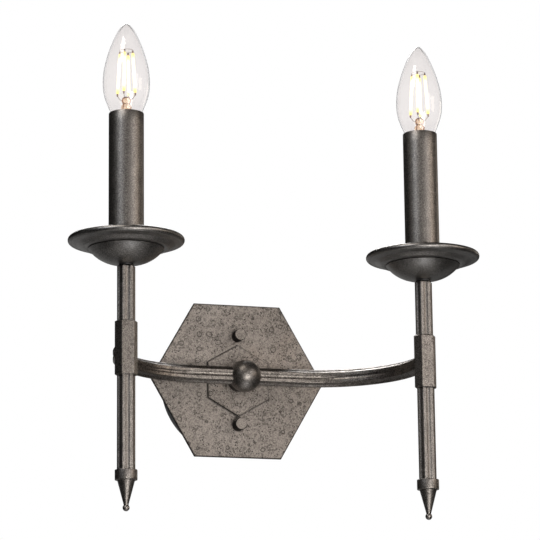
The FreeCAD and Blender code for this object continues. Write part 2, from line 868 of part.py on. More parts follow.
def make_lead(side):
    """Two-core lead from the terminal block through hub, arm and stem to the lampholder."""
    x = side * lead_offset
    tail = y_canopy_floor + hub_washer_thick + hub_nut_height + hub_tube_tail
    y_block = tail + lead_dia / 2 + lead_turn_radius - (side - 1) * lead_step / 2
    points = [V(block_side, y_block, 0), V(x, y_block, 0), V(x, y_ball, 0),
              V(side * candle_offset, y_ball, 0), V(side * candle_offset, y_candle, 0),
              V(side * candle_offset, y_candle, z_holder_floor)]
    hub_turn_radius = ball_flat - hub_thread_grip
    radii = [lead_turn_radius, hub_turn_radius, arm_bend_radius, lead_stem_radius]
    return cable(points, radii, lead_dia)


def block_spans():
    y = (y_canopy_floor, y_canopy_floor + block_depth)
    return (block_side, block_side + block_width), y, (-block_height / 2, block_height / 2)


def screw_places():
    """Places of the terminal screws on the open face of the block."""
    x, y, z = block_spans()
    rows = [x[0] + block_width / 4, x[1] - block_width / 4]
    poles = [(i - (block_poles - 1) / 2) * block_pole_pitch for i in range(block_poles)]
    return [V(row, y[1], pole) for row in rows for pole in poles]


def make_terminal_block():
    solid = block(*block_spans())
    radius = block_screw_dia / 2 + thread_fit
    for place in screw_places():
        solid = solid.cut(rod(radius, block_screw_length, place, OUT))
    return solid.cut(fixing_screw_hole())


def make_terminal_screws():
    radius = block_screw_dia / 2
    screws = []
    for place in screw_places():
        screw = rod(radius, block_screw_length, place, OUT)
        groove = block((place.x - radius, place.x + radius), (place.y - radius / 2, place.y + radius),
                       (place.z - radius / 5, place.z + radius / 5))
        screws.append(screw.cut(groove))
    return Part.makeCompound(screws)


def fixing_screw_hole():
    x, y, z = block_spans()
    middle = (x[0] + x[1]) / 2
    length = canopy_sheet + block_depth / 2
    z_between = block_pole_pitch / 2
    return rod(block_fixing_dia / 2 + thread_fit, length, V(middle, y_canopy_front, z_between),
               V(0, 1, 0))


def make_block_screw():
    """Screw that holds the block to the canopy floor, flush with the canopy's front."""
    x, y, z = block_spans()
    length = canopy_sheet + block_depth / 2
    return rod(block_fixing_dia / 2, length, V((x[0] + x[1]) / 2, y_canopy_front, block_pole_pitch / 2),
               V(0, 1, 0))


def make_earth_lead():
    """Earth lead from the block to the pillar on the wall bracket."""
    top = -(bracket_thick + earth_pillar_height / 2)
    x, y, z = block_spans()
    y_run = y[1] - block_depth / 4
    z_run = -earth_pillar_drop
    points = [V(x[0], y_run, z_run), V(earth_pillar_side, y_run, z_run),
              V(earth_pillar_side, top - seat_gap, z_run)]
    return cable(points, [earth_turn_radius], earth_lead_dia)


# ------------------------------------------------------------------ the whole light

nodes = {
    "wall_bracket": make_wall_bracket(),
    "bracket_studs": make_bracket_studs(),
    "stud_locknuts": make_stud_locknuts(),
    "cable_grommet": make_cable_grommet(),
    "earth_pillar": make_earth_pillar(),
    "earth_lead": make_earth_lead(),
    "terminal_block": make_terminal_block(),
    "terminal_screws": make_terminal_screws(),
    "block_screw": make_block_screw(),
    "rear_canopy": make_rear_canopy(),
    "hex_backplate": make_hex_backplate(),
    "hex_accent_plate": make_hex_accent_plate(),
    "upper_thumb_nut": make_thumb_nut(1),
    "lower_thumb_nut": make_thumb_nut(-1),
    "hub_neck": make_hub_neck(),
    "hub_ball": make_hub_ball(),
    "hub_tube": make_hub_tube(),
    "hub_washer": make_hub_washer(),
    "hub_locknut": make_hub_locknut(),
}

pair_makers = {
    "arm": make_arm,
    "collar": make_collar,
    "stem": make_stem,
    "finial": make_finial,
    "candle_tube": make_candle_tube,
    "drip_cup": make_drip_cup,
    "sleeve_seat": make_sleeve_seat,
    "seat_nut": make_seat_nut,
    "candle_sleeve": make_candle_sleeve,
    "lampholder": make_lampholder,
    "socket_shell": make_socket_shell,
    "socket_contact": make_socket_contact,
    "lamp_cap": make_lamp_cap,
    "lamp_insulator": make_lamp_insulator,
    "lamp_contact": make_lamp_contact,
    "lamp_glass": make_lamp_glass,
    "lamp_stem": make_lamp_stem,
    "lamp_filaments": make_lamp_filaments,
    "lamp_wires": make_lamp_wires,
    "lead": make_lead,
}

for piece, maker in pair_makers.items():
    nodes["left_" + piece] = maker(-1)
    nodes["right_" + piece] = maker(1)

os.makedirs("parts", exist_ok=True)
for name, shape in nodes.items():
    shape.exportStep("parts/" + name + ".step")
    print(name, "solids", len(shape.Solids), "valid", shape.isValid(), "volume", round(shape.Volume, 1))
print("nodes", len(nodes))
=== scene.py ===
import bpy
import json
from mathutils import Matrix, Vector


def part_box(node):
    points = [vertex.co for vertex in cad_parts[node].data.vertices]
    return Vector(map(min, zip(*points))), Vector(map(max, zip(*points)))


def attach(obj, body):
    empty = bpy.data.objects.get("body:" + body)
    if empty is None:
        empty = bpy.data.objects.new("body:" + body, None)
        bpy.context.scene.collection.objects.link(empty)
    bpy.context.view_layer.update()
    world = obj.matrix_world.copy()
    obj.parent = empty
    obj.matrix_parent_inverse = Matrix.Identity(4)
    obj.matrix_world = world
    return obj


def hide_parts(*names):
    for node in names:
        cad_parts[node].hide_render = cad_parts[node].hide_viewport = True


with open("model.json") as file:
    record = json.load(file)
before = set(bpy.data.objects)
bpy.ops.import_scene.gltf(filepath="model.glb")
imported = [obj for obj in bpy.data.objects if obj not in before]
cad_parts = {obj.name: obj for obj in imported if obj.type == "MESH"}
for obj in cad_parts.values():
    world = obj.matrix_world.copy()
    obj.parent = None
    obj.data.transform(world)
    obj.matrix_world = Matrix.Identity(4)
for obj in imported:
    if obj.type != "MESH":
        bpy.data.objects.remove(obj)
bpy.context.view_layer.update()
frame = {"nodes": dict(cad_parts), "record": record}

import json
import math

import bmesh
import bpy
from mathutils import Matrix, Vector

# Double arm wall light with two lit electric candles, dressed around its CAD model.
# Frame in metres: origin on the wall behind the backplate's centre, +X right,
# -Y out into the room, +Z up. Sizes of turned and drawn pieces are in millimetres.

MM = 0.001
UP = Vector((0, 0, 1))
OUT = Vector((0, -1, 0))
nodes = frame["nodes"]

# ------------------------------------------------------------------ sizes in millimetres
# Points of an outline are (distance from the axis, height).

round_steps = 160
on_axis = 1e-6

plate_flats = 120.0
accent_flats = 48.0

cup_sheet = 1.2
cup_hole = 5.1
cup_points = {"floor": (6.8, 0.0), "bowl": (19.5, 4.0), "crease": (28.0, 11.8),
              "ring": (33.2, 13.7), "shoulder": (39.8, 15.4), "rim": (42.7, 18.7),
              "lip": (41.8, 19.8), "inner_lip": (40.66, 19.5)}
cup_roll = [(29.8, 11.75), (32.0, 12.15), (34.0, 13.4), (36.0, 14.55), (38.0, 15.0)]
cup_groove = [(-0.2, -0.5), (-0.6, 0.15), (0.5, 0.15)]
cup_groove_below = 0.8
cup_groove_beyond = 1.0
cup_crown = 0.24
cup_inside_drop = 0.4

sleeve_bore = 12.0
sleeve_radius = 13.0
sleeve_lip = [(0.0, 0.45), (0.15, 0.12), (0.5, 0.0)]
sleeve_foot_ease = 0.2
sleeve_foot_rise = 0.25
sleeve_rows = 12

finial_spigot_radius = 3.4
finial_ring_radius = 8.2
finial_ring_height = 7.5
finial_cone_radius = 6.45
finial_cone_tip = 1.7
finial_cone_height = 18.0
finial_bead_radius = 2.55
finial_bead_steps = 14
finial_corner = 0.45

nut_radius = 4.5
nut_bore = 2.05
nut_length = 10.0
nut_cap = 1.8
nut_foot_ease = 0.15
nut_foot_rise = 0.35
nut_chamfer = 0.35
nut_corner = 0.2

glass_wall = 1.0
glass_least_radius = 0.3
glass_points = [(8.6, 0.0), (10.2, 3.2), (13.6, 10.9), (16.4, 19.2), (17.4, 27.6), (16.75, 38.5),
                (14.2, 49.3), (11.1, 58.4), (7.75, 66.2), (5.65, 69.95), (3.2, 73.2), (1.7, 74.6),
                (0.0, 75.0)]
press_points = [(7.85, 0.0), (7.85, 0.7), (6.2, 1.6), (5.2, 3.6), (4.5, 6.4), (3.9, 8.8),
                (4.0, 10.4), (3.6, 11.6), (2.7, 12.6), (3.2, 14.0), (3.45, 15.6), (2.9, 17.3),
                (1.6, 18.2), (0.0, 18.4)]
press_lead_radius = 0.35
press_lead_points = [(2.9, -0.8, 1.0), (2.5, -0.8, 8.0), (1.7, -0.4, 12.2), (2.3, 0.0, 15.0)]
press_loop_half_width = 2.4
press_loop_half_height = 2.2
press_loop_middle = 15.2
press_loop_steps = 20

cap_radius = 6.95
cap_sheet = 0.5
cap_stub = 3.2
cap_thread_pitch = 2.82
cap_thread_depth = 0.35
cap_thread_length = 6 * cap_thread_pitch
cap_thread_rows = 10
cap_flare_radius = 8.4
cap_flare_height = 1.6
cap_flare_side_ease = 0.2
cap_flare_top_ease = 0.1

filament_count = 4
filament_turn = 61.0
filament_radius = 1.1
filament_foot = (6.8, 20.8)
filament_head = (5.0, 51.8)
filament_amber_length = 6.5
filament_amber_edge = 0.8

wire_radius = 0.25
wire_dome = [(0.9, 0.45), (0.6, 0.8)]
wire_sides = 8
ferrule_radius = 0.62
ferrule_inside = 0.3
ferrule_beyond = 1.3
crown_height = 53.8
crown_wire_start = 0.8
crown_wire_share = 0.6
crown_steps = 32
foot_wire_share = 0.8
foot_wire_start = (3.4, 15.4)
foot_wire_knee = (5.6, 16.8)
foot_wire_end = 1.0
foot_wire_steps = 6

# ------------------------------------------------------------------ finishes


class Reading:
    """A number or vector read from a node; arithmetic on numbers adds Math nodes."""

    def __init__(self, nodes, socket):
        self.nodes = nodes
        self.socket = socket

    def worked(self, operation, first, second):
        return self.nodes.add("ShaderNodeMath", {"operation": operation}, {0: first, 1: second})

    def __add__(self, other):
        return self.worked("ADD", self, other)

    def __radd__(self, other):
        return self.worked("ADD", other, self)

    def __sub__(self, other):
        return self.worked("SUBTRACT", self, other)

    def __rsub__(self, other):
        return self.worked("SUBTRACT", other, self)

    def __mul__(self, other):
        return self.worked("MULTIPLY", self, other)

    def __rmul__(self, other):
        return self.worked("MULTIPLY", other, self)

    def __truediv__(self, other):
        return self.worked("DIVIDE", self, other)

    def __rtruediv__(self, other):
        return self.worked("DIVIDE", other, self)

    def larger(self, other):
        return self.worked("MAXIMUM", self, other)

    def part(self, letter):
        """The X, Y or Z part of a vector reading."""
        return self.nodes.add("ShaderNodeSeparateXYZ", {}, {0: self}, letter)


class Nodes:
    """Adds nodes to one tree."""

    def __init__(self, tree):
        self.tree = tree

    def add(self, kind, settings, inputs, output=0):
        node = self.tree.nodes.new(kind)
        for key, value in settings.items():
            setattr(node, key, value)
        for key, value in inputs.items():
            self.feed(node.inputs[key], value)
        return Reading(self, node.outputs[output])

    def feed(self, socket, value):
        if isinstance(value, Reading):
            self.tree.links.new(value.socket, socket)
        elif hasattr(value, "__len__") and socket.type == "RGBA":
            socket.default_value = (*value, 1)
        else:
            socket.default_value = value

    def ray(self, kind):
        """1 for rays of one kind, such as those that the camera sends out."""
        return self.add("ShaderNodeLightPath", {}, {}, f"Is {kind} Ray")

    def ramped(self, value, low, high):
        """0 below low, 1 above high and a smooth rise between; falls where low is above high."""
        return self.add("ShaderNodeMapRange", {"interpolation_type": "SMOOTHSTEP"},
                        {0: value, 1: low, 2: high, 3: 0.0, 4: 1.0})


class Finish(Nodes):
    """A node material whose patterns follow the object's own metres."""

    def __init__(self, name, **surface):
        self.material = bpy.data.materials.new(name)
        self.material.use_nodes = True
        super().__init__(self.material.node_tree)
        self.shader = next(n for n in self.tree.nodes if n.type == "BSDF_PRINCIPLED")
        self.place = self.add("ShaderNodeTexCoord", {}, {}, "Object")
        for key, value in surface.items():
            self.set(key.replace("_", " ").title().replace("Ior", "IOR"), value)

    def set(self, name, value):
        self.feed(self.shader.inputs[name], value)

    def noise(self, scale, detail=2.0, rough=0.5):
        return self.add("ShaderNodeTexNoise", {},
                        {"Vector": self.place, "Scale": scale, "Detail": detail,
                         "Roughness": rough})

    def cells(self, scale, output="Distance", place=None):
        return self.add("ShaderNodeTexVoronoi", {},
                        {"Vector": place or self.place, "Scale": scale}, output)

    def magnitude(self, value):
        return self.add("ShaderNodeMath", {"operation": "ABSOLUTE"}, {0: value})

    def mixed(self, share, first, second):
        return self.add("ShaderNodeMix", {"data_type": "RGBA"}, {0: share, 6: first, 7: second}, 2)

    def warped(self, scale, reach):
        """The place, pushed about by noise, up to reach metres."""
        push = self.add("ShaderNodeTexNoise", {}, {"Vector": self.place, "Scale": scale}, "Color")
        centred = self.add("ShaderNodeVectorMath", {"operation": "SUBTRACT"},
                           {0: push, 1: (0.5, 0.5, 0.5)})
        scaled = self.add("ShaderNodeVectorMath", {"operation": "SCALE"},
                          {0: centred, "Scale": 2 * reach})
        return self.add("ShaderNodeVectorMath", {"operation": "ADD"}, {0: self.place, 1: scaled})

    def bump(self, height, distance, strength):
        self.set("Normal", self.add("ShaderNodeBump", {}, {"Height": height, "Distance": distance,
                                                           "Strength": strength}))


taupe_shades = ((0.185, 0.160, 0.142), (0.345, 0.305, 0.273))
rust_brown = (0.250, 0.180, 0.135)
mark_brown = (0.036, 0.030, 0.026)
mark_black = (0.030, 0.026, 0.023)
corner_shade_brown = (0.030, 0.026, 0.024)
groove_shade_black = (0.012, 0.010, 0.009)
contact_shadow_black = (0.004, 0.004, 0.004)
edge_shade_black = (0.004, 0.003, 0.003)
glint_highlight_grey = (0.60, 0.56, 0.52)
rod_white = (1.0, 0.97, 0.76)
rod_amber = (0.92, 0.76, 0.26)
insulation_green = (0.03, 0.22, 0.05)
insulation_yellow = (0.62, 0.50, 0.03)


def ringed(f, scale, place, radius, width, share):
    """Broken rings in a share of the cells; radius and width count in cells."""
    reach = f.cells(scale, place=place)
    picked = f.add("ShaderNodeSeparateColor", {}, {0: f.cells(scale, output="Color", place=place)})
    band = f.ramped(reach, radius - width, radius) * f.ramped(reach, radius + width, radius)
    return band * f.ramped(picked, 1 - share, 1.04 - share)


def speckled_plate(name, outline, carried_flats=0.0, marked=1.0):
    """Satin taupe metal paint, full of small dark curls and specks; its cut edges are dark with
    painted shade.
    """
    f = Finish(name)
    grain = f.noise(1250.0, detail=2.0, rough=0.6)
    drift = f.noise(34.0, detail=2.0)
    marks = dark_marks(f).larger(blisters(f) * 0.85) * marked
    colour = f.mixed(f.ramped(drift * 0.35 + grain, 0.46, 0.90), *taupe_shades)
    rust = f.ramped(f.noise(20.0, detail=3.0), 0.53, 0.72)
    colour = f.mixed(rust * 0.25, colour, rust_brown)
    colour = f.mixed(marks, colour, mark_brown)
    # Painted shade darkens the corners.
    colour = f.mixed(crevice_shade(f, 0.002) * 0.7, colour, corner_shade_brown)
    # Painted shade on the cut sides and on a thin line round the face.
    shaded_edges = shaded_cut_edges(f, *outline)
    colour = f.mixed(shaded_edges, colour, edge_shade_black)
    # Painted contact shadow: a thin dark ring on the backplate just outside the small plate.
    if carried_flats:
        beside = hexagon_inset(f, carried_flats, outline[1] + 30)
        contact_shadow = f.ramped(f.magnitude(beside + 0.0003), 0.0009, 0.0004)
        colour = f.mixed(contact_shadow * 0.6, colour, contact_shadow_black)
    f.set("Base Color", colour)
    f.set("Metallic", 0.35 + shaded_edges * 0.65)
    f.set("Roughness", 0.56 + marks * 0.12 + (grain - 0.5) * 0.15)
    f.bump(grain * 0.5 - marks, distance=0.00006, strength=0.6)
    return f.material


def gunmetal(name, marked, rough=0.42, warm=1.0, depth=1.0):
    """Dark satin metal paint with a fine hammered grain, painted pale glints of highlight and a
    share of marks.
    """
    f = Finish(name, metallic=1.0)
    grain = f.noise(1500.0, detail=2.0, rough=0.7)
    cloud = f.noise(130.0, detail=3.0, rough=0.6)
    # Painted highlight: pale glints mixed into the colour.
    painted_glints = f.ramped(f.cells(700.0), 0.26, 0.12)
    painted_glints = painted_glints * f.ramped(f.noise(210.0, detail=1.0), 0.55, 0.68)
    marks = dark_marks(f) * marked
    shades = [[level * share for share in (1, 1 - 0.10 * warm, 1 - 0.18 * warm)]
              for level in (0.120 * depth, 0.330 * depth)]
    colour = f.mixed(f.ramped(cloud * 0.16 + grain, 0.46, 0.76), *shades)
    colour = f.mixed(painted_glints * 0.5 * depth, colour, glint_highlight_grey)
    colour = f.mixed(marks, colour, mark_black)
    # Painted shade darkens the grooves and corners.
    colour = f.mixed(crevice_shade(f, 0.003) * (0.4 + 0.4 * marked), colour, groove_shade_black)
    f.set("Base Color", colour)
    f.set("Roughness", rough + marks * 0.2 + (grain - 0.5) * 0.20)
    f.bump(grain * 1.8 + cloud - marks, distance=0.00006, strength=0.7)
    return f.material


def dark_marks(f):
    """Small curls, rings and specks, two to four millimetres across."""
    hills = f.noise(280.0, detail=1.5)
    curls = f.ramped(f.magnitude(hills - 0.59), 0.050, 0.018)
    curls = curls * f.ramped(f.noise(170.0, detail=1.0), 0.46, 0.56)
    loose = f.warped(460.0, reach=0.0011)
    rings = ringed(f, 350.0, loose, radius=0.30, width=0.19, share=0.38)
    specks = f.ramped(f.cells(620.0, place=loose), 0.42, 0.24)
    specks = specks * f.ramped(f.noise(190.0), 0.48, 0.55)
    flecks = f.ramped(f.noise(800.0, detail=3.0, rough=0.7), 0.58, 0.64)
    return (curls * 0.6).larger(rings * 0.55).larger(specks * 0.95).larger(flecks * 0.8)


def blisters(f):
    """Larger broken rings here and there."""
    loose = f.warped(240.0, reach=0.0016)
    return ringed(f, 135.0, loose, radius=0.26, width=0.09, share=0.40)


def crevice_shade(f, reach):
    """Painted shade: 1 deep in grooves and corners, 0 on open faces."""
    open_share = f.add("ShaderNodeAmbientOcclusion", {"samples": 6}, {"Distance": reach}, "AO")
    return f.ramped(open_share, 0.72, 0.25)


def shaded_cut_edges(f, flats, first_angle, rim_shade_share, turned_away=(0.80, 0.30)):
    """Painted shade: 1 on the cut sides, by how far they turn from the front, and on a thin line
    round a hexagonal plate, 0 on its face.
    """
    depth = hexagon_inset(f, flats, first_angle)
    facing = f.magnitude(f.add("ShaderNodeNewGeometry", {}, {}, "Normal").part("Y"))
    rim = f.ramped(depth, 0.0012, 0.0004) * rim_shade_share
    return rim.larger(f.ramped(facing, *turned_away) * 0.98)


def hexagon_inset(f, flats, first_angle):
    """How far inside a hexagon round the plates' middle, in metres."""
    reach = [toward(f, math.radians(first_angle + 60 * k)) for k in range(3)]
    return flats / 2 * MM - reach[0].larger(reach[1]).larger(reach[2])


def toward(f, angle):
    """Distance from the plates' middle towards one pair of their flats."""
    along = f.add("ShaderNodeVectorMath", {"operation": "DOT_PRODUCT"},
                  {0: f.place, 1: (math.cos(angle), 0.0, math.sin(angle))}, "Value")
    return f.magnitude(along)


def enamel(name, colour, rough):
    """Smooth paint or moulding with faint dust and slight orange peel."""
    f = Finish(name)
    dust = f.noise(240.0, detail=3.0)
    pale = [c + (1 - c) * 0.02 for c in colour]
    f.set("Base Color", f.mixed(f.ramped(dust, 0.45, 0.75), colour, pale))
    f.set("Roughness", rough + (dust - 0.5) * 0.2)
    f.bump(f.noise(700.0, detail=1.0), distance=0.00003, strength=0.4)
    return f.material


def bare_metal(name, colour, rough):
    """Turned or pressed bare metal with fine stains."""
    f = Finish(name, metallic=1.0)
    stain = f.noise(180.0, detail=4.0, rough=0.6)
    dull = [c * 0.62 for c in colour]
    f.set("Base Color", f.mixed(f.ramped(stain, 0.40, 0.72), colour, dull))
    f.set("Roughness", rough + (stain - 0.5) * 0.24)
    f.bump(f.noise(1300.0), distance=0.00002, strength=0.5)
    return f.material


def glowing_rod(name):
    """White-hot filament, amber at its two ends."""
    f = Finish(name, emission_strength=1.15, roughness=0.6)
    height = f.place.part("Z") / MM - lamp_base_height()
    middle = (filament_foot[1] + filament_head[1]) / 2
    half = (filament_head[1] - filament_foot[1]) / 2
    away = f.magnitude(height - middle)
    ends = f.ramped(away + (f.noise(900.0) - 0.5) * 0.8, half - filament_amber_length,
                    half - filament_amber_edge)
    colour = f.mixed(ends, rod_white, rod_amber)
    f.set("Base Color", colour)
    f.set("Emission Color", colour)
    return f.material


def clear_glass(name, colour):
    """Smooth glass, very slightly uneven in its tint."""
    f = Finish(name, transmission_weight=1.0, ior=1.45, roughness=0.0)
    f.set("Base Color", f.mixed(f.ramped(f.noise(40.0), 0.3, 0.8), colour,
                                [c * 0.995 for c in colour]))
    return f.material


def striped_insulation(name):
    """Green wire with a yellow stripe along it."""
    f = Finish(name)
    sway = f.place.part("X") * 900.0 + f.place.part("Z") * 500.0
    wave = f.add("ShaderNodeMath", {"operation": "SINE"}, {0: sway})
    f.set("Base Color", f.mixed(f.ramped(wave, -0.1, 0.1), insulation_green,
                                insulation_yellow))
    f.set("Roughness", 0.42 + (f.noise(500.0) - 0.5) * 0.2)
    return f.material


def lamp_base_height():
    """Height of the lamps' glass above the origin, in millimetres."""
    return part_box("left_lamp_glass")[0].z / MM


# Distance across flats, angle of one pair of flats, strength of the rim's painted shade line and,
# where it isn't the usual, how far a face turns before its painted shade is as dark as a cut
# side's.
large_plate = (plate_flats, 30, 0.8)
small_plate = (accent_flats, 0, 0.1)
nut_sides = (plate_flats, 30, 0.0, (0.97, 0.60))

finishes = {
    "plate_pewter": speckled_plate("plate_pewter", large_plate, carried_flats=accent_flats),
    "mottled_pewter": speckled_plate("mottled_pewter", small_plate),
    "nut_pewter": speckled_plate("nut_pewter", nut_sides, marked=0.5),
    "dark_pewter": gunmetal("dark_pewter", marked=0.75, rough=0.36),
    "smooth_pewter": gunmetal("smooth_pewter", marked=0.12, warm=0.8),
    # Painted shade: the neck's paint is darkened to a third, for the shade between the ball and
    # the plate.
    "neck_shade_pewter": gunmetal("neck_shade_pewter", marked=0.12, rough=0.5, warm=0.8, depth=0.3),
    "cup_pewter": gunmetal("cup_pewter", marked=0.12, rough=0.38, warm=0.5),
    "black_enamel": enamel("black_enamel", (0.012, 0.012, 0.013), rough=0.4),
    "black_glass": enamel("black_glass", (0.010, 0.010, 0.014), rough=0.12),
    "white_plastic": enamel("white_plastic", (0.72, 0.71, 0.67), rough=0.45),
    "black_rubber": enamel("black_rubber", (0.020, 0.020, 0.020), rough=0.7),
    "black_insulation": enamel("black_insulation", (0.018, 0.018, 0.018), rough=0.45),
    "zinc_steel": bare_metal("zinc_steel", (0.62, 0.62, 0.60), rough=0.34),
    "brass": bare_metal("brass", (0.72, 0.52, 0.25), rough=0.30),
    "solder": bare_metal("solder", (0.60, 0.60, 0.62), rough=0.42),
    "lamp_wire": bare_metal("lamp_wire", (0.42, 0.31, 0.26), rough=0.42),
    "copper_wire": bare_metal("copper_wire", (0.50, 0.23, 0.11), rough=0.38),
    "clear_glass": clear_glass("clear_glass", (0.948, 0.926, 0.919)),
    "press_glass": clear_glass("press_glass", (0.95, 0.72, 0.53)),
    "filament": glowing_rod("filament"),
    "earth_insulation": striped_insulation("earth_insulation"),
}

# ------------------------------------------------------------------ shapes


def pulled(a, b, share):
    """The point a share of the way from a to b."""
    return (a[0] + (b[0] - a[0]) * share, a[1] + (b[1] - a[1]) * share)


def softened(points, radius, steps=4, most=0.45):
    """The open line with its corners rounded off; a corner takes at most a share of a side."""
    rounded = [points[0]]
    for back, point, ahead in zip(points, points[1:], points[2:]):
        start, end = (pulled(point, other, min(most, radius / math.dist(point, other)))
                      for other in (back, ahead))
        for k in range(steps + 1):
            t = k / steps
            rounded.append(pulled(pulled(start, point, t), pulled(point, end, t), t))
    rounded.append(points[-1])
    return rounded


def arc_through(first, middle, last, steps=16):
    """Points on the circle through three points, without the first."""
    (ax, ay), (bx, by), (cx, cy) = first, middle, last
    d = 2 * (ax * (by - cy) + bx * (cy - ay) + cx * (ay - by))
    a2, b2, c2 = ax * ax + ay * ay, bx * bx + by * by, cx * cx + cy * cy
    ux = (a2 * (by - cy) + b2 * (cy - ay) + c2 * (ay - by)) / d
    uy = (a2 * (cx - bx) + b2 * (ax - cx) + c2 * (bx - ax)) / d
    radius = math.dist(first, (ux, uy))
    start, between, end = (math.atan2(y - uy, x - ux) for x, y in (first, middle, last))
    way = 1 if (between - start) % math.tau < (end - start) % math.tau else -1
    sweep = way * ((way * (end - start)) % math.tau)
    return [(ux + radius * math.cos(start + sweep * k / steps),
             uy + radius * math.sin(start + sweep * k / steps)) for k in range(1, steps + 1)]


def flowing(points, steps=6):
    """A smooth line through the points."""
    line = []
    count = len(points)
    for i in range(count - 1):
        before = points[max(i - 1, 0)]
        after = points[min(i + 2, count - 1)]
        here, there = points[i], points[i + 1]
        for k in range(steps):
            t = k / steps
            line.append(tuple(
                0.5 * (2 * q + (r - p) * t + (2 * p - 5 * q + 4 * r - s) * t * t
                       + (3 * q - p - 3 * r + s) * t ** 3)
                for p, q, r, s in zip(before, here, there, after)))
    line.append(points[-1])
    return line


def inset(line, depth):
    """The line moved sideways by depth, towards its left as it runs."""
    moved = []
    for i, (x, y) in enumerate(line):
        ax, ay = line[max(i - 1, 0)]
        bx, by = line[min(i + 1, len(line) - 1)]
        length = max(math.hypot(bx - ax, by - ay), 1e-9)
        moved.append((max(x - (by - ay) / length * depth, 0.0), y + (bx - ax) / length * depth))
    return moved


def turns(count):
    """Angles once round, the first again at the end."""
    return [math.tau * k / count for k in range(count + 1)]


def piece(name, mesh_maker, finish, body, replaced, sharp=32.0):
    """A shown piece made by mesh_maker on a fresh bmesh, with its finish, body and nodes."""
    bm = bmesh.new()
    mesh_maker(bm)
    bmesh.ops.recalc_face_normals(bm, faces=bm.faces)
    mesh = bpy.data.meshes.new(name)
    bm.to_mesh(mesh)
    bm.free()
    mesh.shade_smooth()
    mesh.set_sharp_from_angle(angle=math.radians(sharp))
    mesh.materials.append(finishes[finish])
    thing = bpy.data.objects.new(name, mesh)
    bpy.context.scene.collection.objects.link(thing)
    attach(thing, body)
    if replaced:
        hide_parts(*replaced)


def spin(bm, outline, foot, axis=UP, steps=round_steps, swell=None):
    """Turns an outline of (radius, height) pairs about an axis; swell(angle, height) adds radius.
    The outline is joined from its last point to its first, unless one of them is on the axis."""
    aim = axis.to_track_quat("Z", "Y").to_matrix()
    rings = []
    for radius, height in outline:
        if radius < on_axis:
            rings.append([bm.verts.new(foot + aim @ Vector((0, 0, height)) * MM)])
            continue
        ring = []
        for angle in turns(steps)[:-1]:
            r = radius + (swell(angle, height) if swell else 0.0)
            ring.append(bm.verts.new(
                foot + aim @ Vector((r * math.cos(angle), r * math.sin(angle), height)) * MM))
        rings.append(ring)
    pairs = list(zip(rings, rings[1:]))
    if len(rings[0]) > 1 and len(rings[-1]) > 1:
        pairs.append((rings[-1], rings[0]))
    for low, high in pairs:
        for k in range(steps):
            n = (k + 1) % steps
            corners = [low[k % len(low)], low[n % len(low)],
                       high[n % len(high)], high[k % len(high)]]
            unique = list(dict.fromkeys(corners))
            if len(unique) > 2:
                bm.faces.new(unique)


def strand(bm, points, radius, sides=12):
    """Round wire through points in metres, its ends domed."""
    path = [Vector(p) for p in points]
    last = len(path) - 1
    rings = []
    side = (path[1] - path[0]).normalized().orthogonal().normalized()
    for i, here in enumerate(path):
        ahead = (path[min(i + 1, last)] - path[max(i - 1, 0)]).normalized()
        side = (side - ahead * side.dot(ahead)).normalized()
        other = ahead.cross(side)
        sections = [(-along, share) for along, share in wire_dome] if i == 0 else []
        sections += [(0.0, 1.0)] + (wire_dome[::-1] if i == last else [])
        for along, share in sections:
            rings.append([bm.verts.new(
                here + ahead * radius * along
                + (side * math.cos(a) + other * math.sin(a)) * radius * share)
                for a in turns(sides)[:-1]])
    for low, high in zip(rings, rings[1:]):
        for k in range(sides):
            n = (k + 1) % sides
            bm.faces.new((low[k], low[n], high[n], high[k]))
    bm.faces.new(rings[0])
    bm.faces.new(rings[-1])


def foot_of(node):
    """Middle of the node's underside."""
    low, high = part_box(node)
    return Vector(((low.x + high.x) / 2, (low.y + high.y) / 2, low.z))


def height_of(node):
    """The node's height in millimetres."""
    low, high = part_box(node)
    return (high.z - low.z) / MM


# ------------------------------------------------------------------ turned pieces


def cup_outline():
    """Turned sheet cup: its outside from the hole to the rim, and back along the inside."""
    p = cup_points
    outer = [(cup_hole, 0.0), p["floor"]]
    outer += arc_through(p["floor"], p["bowl"], p["crease"])
    skirt = flowing([p["crease"]] + cup_roll + [p["shoulder"]])
    edge = arc_through(p["shoulder"], p["rim"], p["lip"])
    plain = arc_through(p["crease"], p["ring"], p["shoulder"])
    inside = inset(outer + plain + edge, cup_sheet)
    fold, height = p["crease"]
    outside = [q for q in outer if q[1] < height - cup_groove_below]
    outside += [(fold + across, height + up) for across, up in cup_groove]
    outside += [q for q in skirt if q[0] > fold + cup_groove_beyond] + edge
    crown = pulled(p["lip"], p["inner_lip"], 0.5)
    inside = [q for q in inside if q[1] < p["lip"][1] - cup_inside_drop]
    inside[0] = (cup_hole, cup_sheet)
    return outside + [(crown[0], crown[1] + cup_crown)] + inside[::-1]


def sleeve_outline(length):
    """Plain tube with a rounded lip and foot."""
    lip = [(sleeve_bore + across, length - down) for across, down in sleeve_lip]
    lip += [(sleeve_radius - across, length - down) for across, down in sleeve_lip[1::-1]]
    foot = [(sleeve_radius, sleeve_foot_rise), (sleeve_radius - sleeve_foot_ease, 0.0),
            (sleeve_bore + sleeve_foot_ease, 0.0), (sleeve_bore, sleeve_foot_rise)]
    rows = [length * k / sleeve_rows for k in range(1, sleeve_rows)]
    outside = [(sleeve_radius, height) for height in rows[::-1]]
    return lip + outside + foot + [(sleeve_bore, height) for height in rows]


def bead_depth():
    """How far the middle of a finial's bead lies below the top of its ring."""
    return (finial_ring_height + finial_cone_height
            + math.sqrt(finial_bead_radius ** 2 - finial_cone_tip ** 2))


